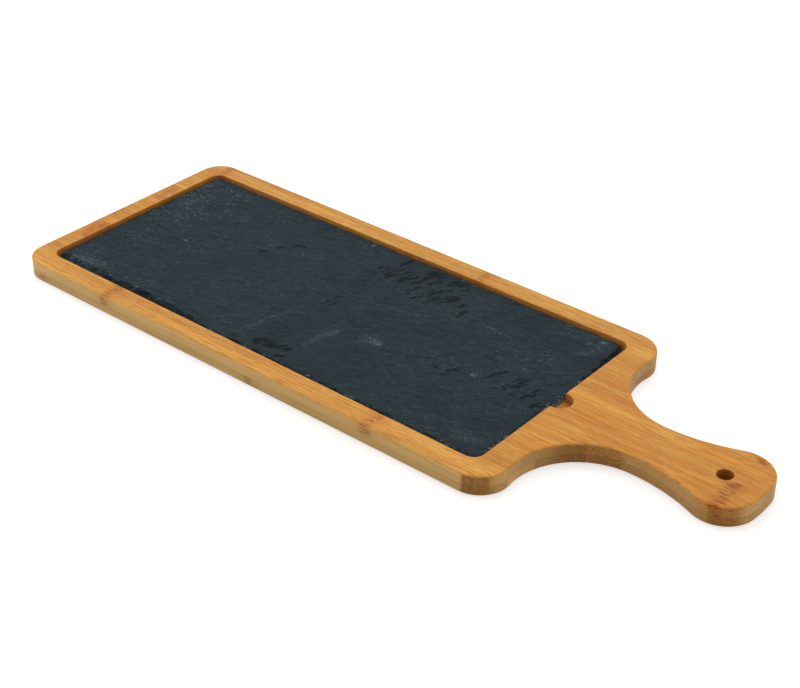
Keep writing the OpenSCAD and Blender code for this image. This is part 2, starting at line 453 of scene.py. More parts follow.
# The wood's markings: how long and how wide they are, in millimetres, how many octaves finer they
# go, and their share in the faces' light and dark. Single fibres are 0.02 mm thick, too fine to
# show, so the hairs are drawn 0.45 mm wide, about as fine as the picture can hold.
grain = {
    "bands": {"long": 170, "wide": 6.0, "detail": 1, "share": 0.42},
    "fibres": {"long": 40, "wide": 0.8, "detail": 4, "share": 0.42},
    "hairs": {"long": 6, "wide": 0.45, "detail": 3, "share": 0.58},
    "dashes": {"long": 13, "wide": 0.7, "detail": 2},
    "patches": {"long": 34, "wide": 5.0, "detail": 3},
    "lines": {"long": 200, "wide": 3.3, "detail": 1},
    "ticks": {"long": 6, "wide": 0.75, "detail": 2},
    "steps": {"long": 60, "wide": 1.2, "detail": 3},
}
woodMarks = {
    "bundleWidth": 0.62,  # of a bundle of tough fibres and the soft wood round it
    "wander": 1.4,  # how far fibres stray from a straight line
    "lamellas": (0.955, 1.045),  # tone of the darkest and the lightest lamella
    "contrast": (0.54, 0.88),  # the blends of those shares that are darkest and lightest
    "dashes": 0.8,  # strength of the dark dashes
    "blush": (0.10, 0.38),  # strength of the orange patches, between and in them
    "endDots": 0.6,  # strength of the bundles' dots in end grain
    "faceLines": (0.14, 0.04),  # and of their lines, on faces and on sides
    "growth": (0.36, 0.10),  # strength of the growth lines, on faces and on sides
    "halo": (11.0, 0.42),  # reach and strength of the browner wood beside a culm joint
    "strokes": (3.6, 0.85),  # reach and strength of a joint's reddish strokes
    "uneven": 6.0,  # how far those stray along the board
    "glue": (0.32, 0.28),  # half width and strength of a glue line
    "scorch": 0.5,  # strength of the browning that the router's bit and the drill leave
    "roughness": (0.44, 0.58),
    "groove": 0.05,  # depth of the sander's scratches
}


def begun(look):
    # a new material, what adds its nodes, its colours, and directions and places in millimetres
    material = bpy.data.materials.new(look["name"])
    add = nodeAdder(material)
    colour = {key: srgb(value) for key, value in look.items() if key != "name"}
    coords = add("TexCoord").outputs
    place = add("VectorMath", scaled, {0: coords["Object"], "Scale": 1 / mm})
    return material, add, colour, coords["Normal"], place


def bamboo(look):
    material, add, colour, normal, place = begun(look)
    marks = woodMarks
    axes = add("SeparateXYZ", None, [place])
    facing = add("SeparateXYZ", None, [normal])
    own = {key: add("Attribute", {"attribute_name": key}).outputs["Fac"] for key in (
        "figure", "tone", "orange", "knots", "grainOnSide", "routed", "jointsLow", "jointsHigh",
        "endsLow", "endsHigh", "dotsLow", "dotsHigh")}
    seed = add("CombineXYZ", None, [own["figure"], own["figure"], own["figure"]])

    # fibres wander a little from side to side along the strip
    slow = add("VectorMath", timesPlus, [place, (0.011, 0.02, 0.02), seed])
    wander = add("TexNoise", None, {"Vector": slow, "Scale": 1.0, "Detail": 2.0})
    sideways = (0, marks["wander"], marks["wander"])
    bent = add("VectorMath", timesPlus, [wander.outputs["Color"], sideways, place])
    figured = add("VectorMath", plus, [bent, seed])
    noises = {}
    for key, size in grain.items():
        finer = (1 / size["long"], 1 / size["wide"], 1 / size["wide"])
        vector = add("VectorMath", times, [figured, finer])
        noises[key] = add("TexNoise", None, {
            "Vector": vector, "Scale": 1.0, "Detail": size["detail"], "Roughness": 0.6})
    blend = 0.0
    for key in ("bands", "fibres", "hairs"):
        blend = add("Math", timesPlus, [noises[key], grain[key]["share"], blend])
    figure = add("MapRange", None, [blend, *marks["contrast"]])
    dashes = add("MapRange", smooth, [noises["dashes"], 0.54, 0.66, 0.0, marks["dashes"]])
    blush = add("MapRange", smooth, [noises["patches"], 0.48, 0.66, *marks["blush"]])
    blush = add("Math", times, [blush, own["orange"]])

    # bundles of tough fibre: brown dots in the end grain, faint lines along the face
    finer = (0.02, 1 / marks["bundleWidth"], 1 / marks["bundleWidth"])
    vector = add("VectorMath", times, [figured, finer])
    cells = add("TexVoronoi", None, {"Vector": vector, "Scale": 1.0, "Randomness": 0.9})
    bundles = add("MapRange", smooth, [cells.outputs["Distance"], 0.46, 0.20])

    across = add("Math", times, [facing.outputs["X"], facing.outputs["X"]])
    upward = add("Math", times, [facing.outputs["Z"], facing.outputs["Z"]])
    # end grain shows where a wall cuts across the fibres; painted light from the left: a wall that
    # looks back towards the plain end takes it only when turned far round, and keeps the paler side
    # colour
    away = add("Math", unsigned, [facing.outputs["X"]])
    away = add("Math", times, [facing.outputs["X"], away])
    endGrainAndPaintedLight = add("MapRange", smooth, [away, 0.004, 0.03])
    backEndGrainPaintedLight = add("MapRange", smooth, [away, -0.22, -0.6])
    endGrainAndPaintedLight = add("Math", greatest, [endGrainAndPaintedLight, backEndGrainPaintedLight])
    endGrainAndPaintedLight = add("MapRange", None, [endGrainAndPaintedLight, 0.0, 1.0, own["grainOnSide"], 1.0])
    squareCutPaintedLight = add("MapRange", smooth, [across, 0.50, 0.92, 0.0, 0.75])
    side = add("MapRange", smooth, [upward, 0.30, 0.03])
    plainCut = add("MapRange", None, [own["routed"], 0.0, 1.0, 1.0, 0.25])
    side = add("Math", times, [side, plainCut])

    # the two lamellas of a strip
    perHalf = 2 / board["stripPitch"]
    halves = add("Math", timesPlus, [axes.outputs["Y"], perHalf, perHalf * board["middleSeam"]])
    lamella = add("Math", {"operation": "FLOOR"}, [halves])
    parity = add("Math", {"operation": "FLOORED_MODULO"}, [lamella, 2.0])
    endTone = add("Mix", None, {0: parity, 2: own["endsLow"], 3: own["endsHigh"]})
    dots = add("Mix", None, {0: parity, 2: own["dotsLow"], 3: own["dotsHigh"]})
    drawn = add("CombineXYZ", None, [lamella, own["figure"]])
    chance = add("TexWhiteNoise", {"noise_dimensions": "2D"}, [drawn]).outputs["Value"]
    faceTone = add("MapRange", None, [chance, 0.0, 1.0, *marks["lamellas"]])

    # faces, planed along the fibres
    face = colour["dark"]
    for share, tint in ((figure, "light"), (blush, "blush"), (dashes, "dash")):
        face = add("Mix", mix, {0: share, 6: face, 7: colour[tint]})
    face = add("VectorMath", scaled, {0: face, "Scale": faceTone})
    # sides, which show the lamellas' paler edges
    streaks = add("MapRange", None, [noises["fibres"], 0.3, 0.7])
    edge = add("Mix", mix, {0: streaks, 6: colour["sideDark"], 7: colour["sideLight"]})
    # walls that cut across the fibres, with painted light: paler where a wall faces straight along
    # the board, darker where it turns obliquely towards the camera
    fuzz = add("MapRange", smooth, [noises["hairs"], 0.35, 0.65])
    dotted = add("Math", times, [bundles, dots])
    dotted = add("Math", times, [dotted, marks["endDots"]])
    end = colour["grainDark"]
    for share, tint in ((fuzz, "grainLight"), (squareCutPaintedLight, "paintedLitEnd"), (dotted, "bundle")):
        end = add("Mix", mix, {0: share, 6: end, 7: colour[tint]})
    end = add("VectorMath", scaled, {0: end, "Scale": endTone})
    walls = add("Mix", mix, {0: endGrainAndPaintedLight, 6: edge, 7: end})
    wood = add("Mix", mix, {0: side, 6: face, 7: walls})
    share = add("MapRange", None, [side, 0.0, 1.0, *marks["faceLines"]])
    share = add("Math", times, [bundles, share])
    wood = add("Mix", mix, {0: share, 6: wood, 7: colour["bundle"]})

    # a few long dark growth lines, about 0.7 mm wide
    fromLine = add("Math", minus, [noises["lines"], 0.55])
    fromLine = add("Math", unsigned, [fromLine])
    most = add("MapRange", None, [side, 0.0, 1.0, *marks["growth"]])
    growth = add("MapRange", smooth, [fromLine, 0.03, 0.0, 0.0, most])
    wood = add("Mix", mix, {0: growth, 6: wood, 7: colour["dash"]})

    # culm joints: short reddish strokes that start and stop unevenly, in a browner halo
    stray = marks["uneven"]
    uneven = add("Math", timesPlus, [noises["steps"], 2 * stray, -stray])
    strokes = add("MapRange", smooth, [noises["ticks"], 0.44, 0.56, 0.12, 1.0])
    alongside = add("MapRange", smooth, [across, 0.9, 0.5])
    strokes = add("Math", times, [strokes, alongside])
    strokes = add("Math", times, [strokes, own["knots"]])
    for key in ("jointsLow", "jointsHigh"):
        off = add("Math", minus, [axes.outputs["X"], own[key]])
        plain = add("Math", unsigned, [off])
        off = add("Math", unsigned, [add("Math", plus, [off, uneven])])
        reach, strength = marks["halo"]
        halo = add("MapRange", smooth, [plain, reach, 1.0, 0.0, strength])
        halo = add("Math", times, [halo, own["knots"]])
        wood = add("Mix", mix, {0: halo, 6: wood, 7: colour["dash"]})
        reach, strength = marks["strokes"]
        core = add("MapRange", smooth, [off, reach, reach / 3, 0.0, strength])
        share = add("Math", times, [core, strokes])
        wood = add("Mix", mix, {0: share, 6: wood, 7: colour["joint"]})

    # glue lines between strips, and between the plies round the edge
    offset = add("Math", plus, [axes.outputs["Y"], board["middleSeam"]])
    toSeam = add("Math", {"operation": "PINGPONG"}, [offset, board["stripPitch"] / 2])
    toPly = add("Math", minus, [axes.outputs["Z"], board["lowerPly"]])
    toPly = add("Math", unsigned, [toPly])
    # past the neck the -Y bulge is one piece with its neighbour, so no glue line runs there
    pastNeck = add("Math", {"operation": "GREATER_THAN"}, [axes.outputs["X"], neckLine])
    outside = add("Math", {"operation": "LESS_THAN"}, [axes.outputs["Y"], seamBelow(5) + 2])
    inBulge = add("Math", times, [pastNeck, outside])
    toSeam = add("Math", plus, [toSeam, inBulge])
    toGlue = add("Math", {"operation": "MINIMUM"}, [toSeam, toPly])
    reach, strength = marks["glue"]
    glue = add("MapRange", smooth, [toGlue, reach, 0.05, 0.0, strength])
    wood = add("Mix", mix, {0: glue, 6: wood, 7: colour["glue"]})

    # the router's bit and the drill brown their walls by the heat, and the recess floor a little
    share = add("Math", times, [own["routed"], marks["scorch"]])
    wood = add("Mix", mix, {0: share, 6: wood, 7: colour["scorch"]})
    wood = add("VectorMath", scaled, {0: wood, "Scale": own["tone"]})

    # sanded along the grain: hair-fine grooves of a few hundredths of a millimetre
    height = add("Math", plus, [noises["fibres"], noises["hairs"]])
    bump = add("Bump", None, {
        "Strength": 0.35, "Distance": marks["groove"] * mm, "Height": height})
    rough = add("MapRange", None, [noises["fibres"], 0.0, 1.0, *marks["roughness"]])
    shader = add("BsdfPrincipled", None, {
        "Base Color": wood, "Roughness": rough, "Normal": bump, "IOR": 1.5,
        "Specular IOR Level": 0.2})
    add("OutputMaterial", None, [shader])
    return material


bambooMaterials = {slot: bamboo(look) for slot, look in bambooLooks.items()}
browned = {"walls": 1.0, "floor": 0.4, "hole": 1.3}  # by the router's bit and the drill
slack = 0.3  # how much of the eased edges they browned too
recessEnd = board["bodyLength"] - board["gripRim"] + board["notchOut"] + board["notch"]
for number, name in enumerate(strips):
    strip = {**usual, **strips[name]}
    slot = name.split("_")[0] + "_bamboo"
    piece = pieceFrom(stripShape(name), name + "_wood", "board", bambooMaterials[slot], name)
    x, y, z = places(piece.data).T
    inX = (x > board["endRim"] - slack) & (x < recessEnd + slack)
    inY = np.abs(y) < board["width"] / 2 - board["sideRim"] + slack
    deep = (z > floorHeight - 0.01) & (z < boardThickness - 0.02)
    onFloor = z < floorHeight + 0.02
    bored = np.hypot(x - holeX, y) < board["hole"] / 2 + easing["hole"] * 0.4
    routed = (inX & inY & deep) * np.where(onFloor, browned["floor"], browned["walls"])
    mark(piece.data, "routed", routed + bored * browned["hole"])
    mark(piece.data, "figure", number * 7.3)  # a place of its own in the noise
    for key in ("tone", "orange", "knots", "grainOnSide"):
        mark(piece.data, key, strip[key])
    strip["joints"] = [x + frameShift for x in strip["joints"]]
    for key in ("joints", "ends", "dots"):
        mark(piece.data, key + "Low", strip[key][0])
        mark(piece.data, key + "High", strip[key][1])
shell.free()
print("strips:", len(strips))

slab = {
    "length": 288,
    "width": 124,
    "corner": 6,
    "thickness": 3.5,
    "middle": 156,  # of its length, from the board's plain end
    "pitch": 0.66,  # of the points over its face
    "swell": 0.10,  # depth of the slow swell of its face
    "ripples": 0.10,  # of the fine ripples along it
    "grit": 0.06,  # and of its roughest grit
    "waver": (0.4, 0.5),  # how far the far and end edges stray, and the near edge
    "bevel": (0.15, 0.6),  # width of the knapped edge, at its least and most
    "fingered": 1.1,  # width of the edge worn down at the finger notch
    "fingertip": (8.5, 5),  # from the long axis to where that wear ends, and to where it is full
    "notchZone": (8, 9),  # how far from the end and from the long axis the edge is smooth there
    "flakes": 560,  # chips struck off round the edge
    "flakeRadius": (0.8, 3.2),
    "flakeDepth": (0.3, 1.6),
    "deepest": 2.6,  # that chips take off together
    "chipped": 8,  # width of the border that chips can reach
    "roughEnd": 115,  # over this length from the plain end the near edge is chipped most
    "roughSize": 2.1,  # size of the chips there, against the two ranges above
    "nearSize": 0.9,  # and on the rest of the near edge
    "crispSize": 0.46,  # and on the other edges
    "roughCorner": 20,  # the grip end's chips grow from here to its far corner
    "cornerGrowth": 0.03,  # by this for each millimetre
    "seed": 5,
}


def turnedTo(x, y, turn):
    # the same places, measured along and across a direction
    c, s = math.cos(turn), math.sin(turn)
    return x * c + y * s, y * c - x * s


def lattice(x, y, cellX, cellY, seed, turn=0.0):
    # smooth noise from 0 to 1 with cells of the given size in millimetres, turned by an angle
    u, v = turnedTo(x, y, turn)
    u, v = u / cellX + 500, v / cellY + 500
    table = np.random.default_rng(seed).random((1024, 1024))
    i, j = np.floor(u).astype(int), np.floor(v).astype(int)
    f, g = u - i, v - j
    f, g = f * f * (3 - 2 * f), g * g * (3 - 2 * g)
    i, j = i % 1023, j % 1023
    low = table[i, j] * (1 - f) + table[i + 1, j] * f
    high = table[i, j + 1] * (1 - f) + table[i + 1, j + 1] * f
    return low * (1 - g) + high * g


def step(value, start, end):
    # rises smoothly from 0 at start to 1 at end
    t = np.clip((value - start) / (end - start), 0, 1)
    return t * t * (3 - 2 * t)


def atNotch(x, y):
    fromEnd, fromAxis = slab["notchZone"]
    return (x > slab["length"] / 2 - fromEnd) & (np.abs(y) < fromAxis)


def gridLines(half):
    # closer together towards the broken edge
    near = np.cumsum([0, 0.25, 0.25, 0.3, 0.3, 0.35, 0.35, 0.4, 0.4, 0.45, 0.45, 0.5, 0.5, 0.55])
    inner = half - near[-1]
    middle = np.linspace(-inner, inner, round(2 * inner / slab["pitch"]) + 1)
    return np.concatenate([near[:-1] - half, middle, half - near[:-1][::-1]])


# Thin leaves split off the riven face: (length, width, depth, seed, turn), in millimetres
leaves = [(34, 15, 0.10, 32, 0.3), (16, 8, 0.08, 33, 0.5), (7, 4, 0.06, 34, 0.2)]
# Scars on the face: places where thin leaves of slate came away, as (x, y, spread x, spread y,
# how many, length, width, depth), in millimetres along the board
scarGroups = [
    (188, 46, 26, 11, 34, 10.5, 1.3, 0.38),
    (205, 36, 16, 6, 8, 10.0, 1.2, 0.34),
    (92.5, 13.5, 3, 2, 4, 4.0, 1.5, 0.3),
    (99, 24, 1.5, 1, 2, 5.5, 1.3, 0.32),
    (105.5, 31, 1.5, 1.5, 2, 8.0, 2.0, 0.4),
    (158, 20, 4, 24, 8, 7.0, 1.3, 0.28),
    (160, 17, 20, 3, 4, 5.0, 1.3, 0.2),
    (164, -52, 11, 4, 8, 6.0, 2.0, 0.36),
    (280, -2, 20, 7, 18, 7.5, 1.1, 0.26),
    (240, -12, 12, 4, 7, 6.0, 1.1, 0.2),
    (60, -40, 40, 18, 10, 3.5, 1.2, 0.12),
    (40, 35, 26, 20, 8, 3.5, 1.2, 0.12),
    (250, 30, 36, 26, 8, 3.0, 1.0, 0.10),
]
# Pale scuffs and specks: (x, y, length along, length across, turn in degrees, strength)
scuffs = [
    (177, -31, 20, 3.4, 84, 0.34), (180, -23, 9, 3.0, 84, 0.4), (145, -36, 34, 1.8, 76, 0.3),
    (240, 32, 22, 1.5, -8, 0.42), (175, -12, 40, 1.2, 85, 0.12), (201, -16, 9, 4, 20, 0.6),
    (196, -16, 13, 8, 60, 0.18), (204, -17, 2.0, 1.6, 20, 1.4), (257, -8, 2.2, 2.2, 0, 1.6),
    (205, 61, 3.2, 1.2, 60, 1.6), (136, 59, 2.6, 1.2, 60, 1.4), (53, -4, 2.5, 1.6, 10, 1.2),
    (15, 50, 5, 3, 30, 0.7), (30, -54, 22, 7, 10, 0.4), (20, -57, 6, 3, 10, 0.8),
    (24, 30, 14, 6, 60, 0.3), (290, 50, 12, 5, 60, 0.32), (286, -50, 16, 6, 20, 0.2),
    (288.5, 57.5, 4.0, 2.2, 30, 0.9), (283.8, 52.4, 3.6, 2.2, 70, 0.8),
    (267, 60.5, 7, 1.4, 20, 0.6), (281, 59.5, 9, 1.4, 10, 0.4), (286, 43, 9, 4, 50, 0.2),
]


def slabShape():
    rng = np.random.default_rng(slab["seed"])
    halfX, halfY, r = slab["length"] / 2, slab["width"] / 2, slab["corner"]
    gx, gy = np.meshgrid(gridLines(halfX), gridLines(halfY), indexing="ij")
    # the four corner squares of the grid are pressed to quarter discs
    a = np.maximum(np.abs(gx) - (halfX - r), 0) / r
    b = np.maximum(np.abs(gy) - (halfY - r), 0) / r
    corner = (a > 0) & (b > 0)
    x = np.where(corner, np.sign(gx) * (halfX - r + r * a * np.sqrt(1 - b * b / 2)), gx)
    y = np.where(corner, np.sign(gy) * (halfY - r + r * b * np.sqrt(1 - a * a / 2)), gy)
    qx, qy = np.abs(x) - (halfX - r), np.abs(y) - (halfY - r)
    out = np.stack([np.maximum(qx, 0), np.maximum(qy, 0)], -1)
    inside = r - (np.linalg.norm(out, axis=-1) + np.minimum(np.maximum(qx, qy), 0))
    # the broken edge wavers in and out, least at the finger notch
    length = np.maximum(np.linalg.norm(out, axis=-1, keepdims=True), 1e-6)
    outward = out / length * np.sign(np.stack([x, y], -1))
    nearEdge, notched = y < 0, atNotch(x, y)
    waver = lattice(x, y, 7, 7, 21) * 0.6 + lattice(x, y, 1.7, 1.7, 22) * 0.4
    far, near = slab["waver"]
    waver = waver * np.where(notched, 0.05, np.where(nearEdge, near, far))
    waver = waver * np.clip(1 - inside / 4, 0, 1)
    x, y = x - outward[..., 0] * waver, y - outward[..., 1] * waver

    # riven face: shallow leaves with crisp edges over a slow swell, and fine ripples along the slab
    relief = slab["swell"] * lattice(x, y, 60, 34, 31)
    for cellX, cellY, depth, seed, turn in leaves:
        field = lattice(x, y, cellX, cellY, seed, turn) + 0.12 * lattice(x, y, 1.8, 1.2, seed + 50)
        relief += depth * step(field, 0.60, 0.66) + depth * 0.6 * step(field, 0.40, 0.43)
    ripple = lattice(x, y, 8, 1.5, 35, 0.30) + 0.6 * lattice(x, y, 4, 1.2, 36, 0.22)
    relief += slab["ripples"] * ripple * (0.35 + lattice(x, y, 70, 40, 37))
    relief += slab["grit"] * lattice(x, y, 1.3, 1.3, 38)

    scarred = np.zeros_like(x)
    alongX, acrossY = x + slab["middle"], y
    frayed = lattice(x, y, 1.6, 1.6, 61) - 0.5
    for cx, cy, spreadX, spreadY, count, long, wide, depth in scarGroups:
        for _ in range(count):
            px, py = cx + rng.uniform(-1, 1) * spreadX, cy + rng.uniform(-1, 1) * spreadY
            u, v = turnedTo(alongX - px, acrossY - py, math.radians(rng.normal(82, 11)))
            l, w = long * rng.uniform(0.4, 1.1) / 2 + 0.5, wide * rng.uniform(0.6, 1.4)
            v = v + 0.5 * wide * np.sin(u / l * 2) + frayed
            q = np.sqrt((u / l) ** 2 + (v / w) ** 2)
            slant = 0.55 + 0.45 * np.clip(v / w, -1, 1)
            dent = step(1 - q, 0.0, 0.2) * slant * depth * rng.uniform(0.5, 1.2)
            scarred = np.maximum(scarred, dent)
    relief += scarred

    # flakes struck off round the edge leave shallow bowls that run into each other
    edgeSpots = np.concatenate([
        np.stack([rng.uniform(-halfX, halfX, 2), np.array([halfY, -halfY])], 1)
        for _ in range(slab["flakes"] // 3)] + [
        np.stack([np.array([halfX, -halfX]), rng.uniform(-halfY, halfY, 2)], 1)
        for _ in range(slab["flakes"] // 6)])
    bowls = np.zeros_like(x)
    border = inside < slab["chipped"]
    nx, ny = x[border], y[border]
    ragged = 0.3 * (lattice(nx, ny, 1.5, 1.5, 62) - 0.5)
    deepest = np.zeros_like(nx)
    for ex, ey in edgeSpots:
        radius, depth = rng.uniform(*slab["flakeRadius"]), rng.uniform(*slab["flakeDepth"])
        size = slab["crispSize"]
        if ey == -halfY:
            size = slab["roughSize"] if ex + slab["middle"] < slab["roughEnd"] else slab["nearSize"]
        if ex == halfX:
            size = size + slab["cornerGrowth"] * max(0, ey - slab["roughCorner"])
        radius, depth = radius * size, depth * size
        stretch = rng.uniform(1.0, 2.2)
        if abs(ey) == halfY:
            away = ((nx - ex) / radius / stretch) ** 2 + ((ny - ey) / radius) ** 2
        else:
            away = ((nx - ex) / radius) ** 2 + ((ny - ey) / radius / stretch) ** 2
        deepest = np.maximum(deepest, depth * np.clip(1 - away + ragged, 0, 1) ** 0.5)
    bowls[border] = deepest * np.where(notched[border], 0.15, 1.0)
    least, most = slab["bevel"]
    bevel = least + (most - least) * lattice(x, y, 5, 5, 41)
    knapped = np.clip(1 - inside / bevel, 0, 1) ** 1.2 * np.where(nearEdge & ~notched, 1.1, 0.4)
    # fingertips have worn the edge down at the notch
    fingered = step(np.abs(y), *slab["fingertip"]) * np.clip(1 - inside / slab["fingered"], 0, 1)
    fingered = fingered * (x > 0)
    knapped = np.maximum(knapped, slab["fingered"] * fingered)
    crumbs = 0.2 * lattice(x, y, 1.2, 1.2, 42) * (bowls > 0)
    drop = np.minimum(np.maximum(bowls, knapped) + 0.25 * knapped + crumbs, slab["deepest"])
    top = floorHeight + slab["thickness"]
    relief = np.maximum(relief - np.percentile(relief, 12), 0)
    height = top - relief * np.clip(inside / 1.5, 0.2, 1) - drop

    pale = np.zeros_like(x)
    astray = 1.6 * (lattice(x, y, 7, 7, 64) - 0.5) + 0.8 * (lattice(x, y, 2.5, 2.5, 65) - 0.5)
    for px, py, long, wide, turn, strength in scuffs:
        u, v = turnedTo(alongX - px, acrossY - py, math.radians(turn))
        pale += strength * np.exp(-(2 * u / long) ** 2 - (2 * (v + astray) / wide) ** 2)
    # painted light: the worn-down bevel at the notch lies in shade and is lifted pale, to the
    # face's tone
    pale += 1.2 * (fingered > 0) * step(inside, slab["fingered"], 0)
    # stone dust with a painted highlight lies on the brink of each chip; painted shade darkens the
    # chipped edge, most on the steep rim of each bowl
    dusty = step(lattice(x, y, 4, 4, 63), 0.45, 0.6)
    brink = step(drop, 0.02, 0.12) * (1 - step(drop, 0.25, 0.5)) * dusty
    pale += 1.2 * brink * (inside > 0.4)
    slope = np.hypot(np.gradient(drop, axis=0) / np.maximum(np.gradient(gx, axis=0), 0.2),
                     np.gradient(drop, axis=1) / np.maximum(np.gradient(gy, axis=1), 0.2))
    broken = np.maximum(0.55 * step(drop, 0.12, 0.9), step(slope, 0.5, 1.8))
    broken = broken * np.where(fingered > 0, 0.2, 1.0)
    # the face is rubbed most at the plain end, and in the grip end's far corner
    worn = np.maximum(step(alongX, 95, 15), 0.5 * step(alongX, 235, 290) * step(acrossY, -5, 45))
    return x, y, height, scarred, broken, pale, 0.35 + 0.65 * worn


def slabMesh():
    x, y, height, *layers = slabShape()
    nx, ny = x.shape
    bm = bmesh.new()
    shift = frameShift + slab["middle"]
    face = [[bm.verts.new((x[i, j] + shift, y[i, j], height[i, j])) for j in range(ny)]
            for i in range(nx)]
    for i in range(nx - 1):
        for j in range(ny - 1):
            bm.faces.new((face[i][j], face[i + 1][j], face[i + 1][j + 1], face[i][j + 1]))
    ring = ([(i, 0) for i in range(nx)] + [(nx - 1, j) for j in range(1, ny)]
            + [(i, ny - 1) for i in range(nx - 2, -1, -1)] + [(0, j) for j in range(ny - 2, 0, -1)])
    # the broken side: a few rough rings from the knapped edge down to the sawn underside
    px, py, pz = (np.array([grid[k] for k in ring]) for grid in (x, y, height))
    notched = atNotch(px, py)
    evened = np.where(notched, 0.25, 1.0)
    low = floorHeight + 0.02
    before = [face[i][j] for i, j in ring]
    for n, share in enumerate((0.3, 0.6, 0.85, 1.0)):
        z = pz + (low - pz) * share
        draw = 0.35 * evened * lattice(px, py, 2.2, 2.2, 70 + n) * (0.5 if n == 3 else 1)
        scale = 1 - draw / np.hypot(px, py)
        row = [bm.verts.new((a * s + shift, b * s, c)) for a, b, s, c in zip(px, py, scale, z)]
        band(bm, row, before)
        before = row
    closeFlat(bm, [before], (0, 0, -1))
    # scar, chip, scuff and worn on the rings: painted light lifts the shaded side pale at the
    # notch, and elsewhere its chip value is painted shade
    side = np.where(notched[:, None], (0.0, 0.0, 3.0, 0.3), (0.0, 0.15, 0.2, 0.3))
    marks = np.vstack([np.stack([layer.ravel() for layer in layers], 1), side, side, side, side])
    return bm, marks


# Riven slate, split along its cleavage and left raw: blue-grey leaves with a dull, faintly silky
# face, darker where a leaf came away and dusted pale where it is chipped or scuffed. Painted shade
# darkens its chipped edges, with painted highlights on their brinks and painted light on the worn
# edge at the finger notch.
slateLook = {
    "name": "rivenSlateRaw",
    "dark": "#131D21",
    "light": "#2A383D",
    # the darker tone of scars, and also the painted shade on chipped edges
    "scar": "#0A1216",
    "dust": "#9EB0BA",
    "vein": "#5E6E74",
}
# The slate's markings: how long and how wide they are, in millimetres, how many octaves finer they
# go, and their share in its light and dark. Real grit is 0.05 mm, drawn coarser so that it shows.
slateGrain = {
    "clouds": {"long": 40, "wide": 30, "detail": 3, "share": 0.18},
    "mottle": {"long": 2.6, "wide": 1.8, "detail": 5, "share": 0.50},
    "grit": {"long": 0.7, "wide": 0.7, "detail": 3, "share": 0.22},
    "silk": {"long": 6.0, "wide": 1.1, "detail": 3, "share": 0.76},
    "threads": {"long": 9.0, "wide": 7.0, "detail": 4},
}
slateMarks = {
    "cleavage": -0.28,  # the turn of its silky lines against the board, in radians
    "contrast": (0.65, 1.01),  # the blends of those shares that are darkest and lightest
    "scars": 0.9,  # how dark the scars are
    "threads": (0.15, 0.8),  # strength of the pale threads, between and in the clouds
    "cell": 4.5,  # of the grid that the lone specks lie in
    "scuffs": 0.72,  # strength of the dust on a scuff, and of the painted light it carries
    "broken": 0.75,  # how dark the painted shade on the chipped edge is
    "flecks": 0.5,  # and how strong its pale flecks are
    "roughness": (0.5, 0.72),
    "relief": 0.3,  # depth of the grit and silk
}


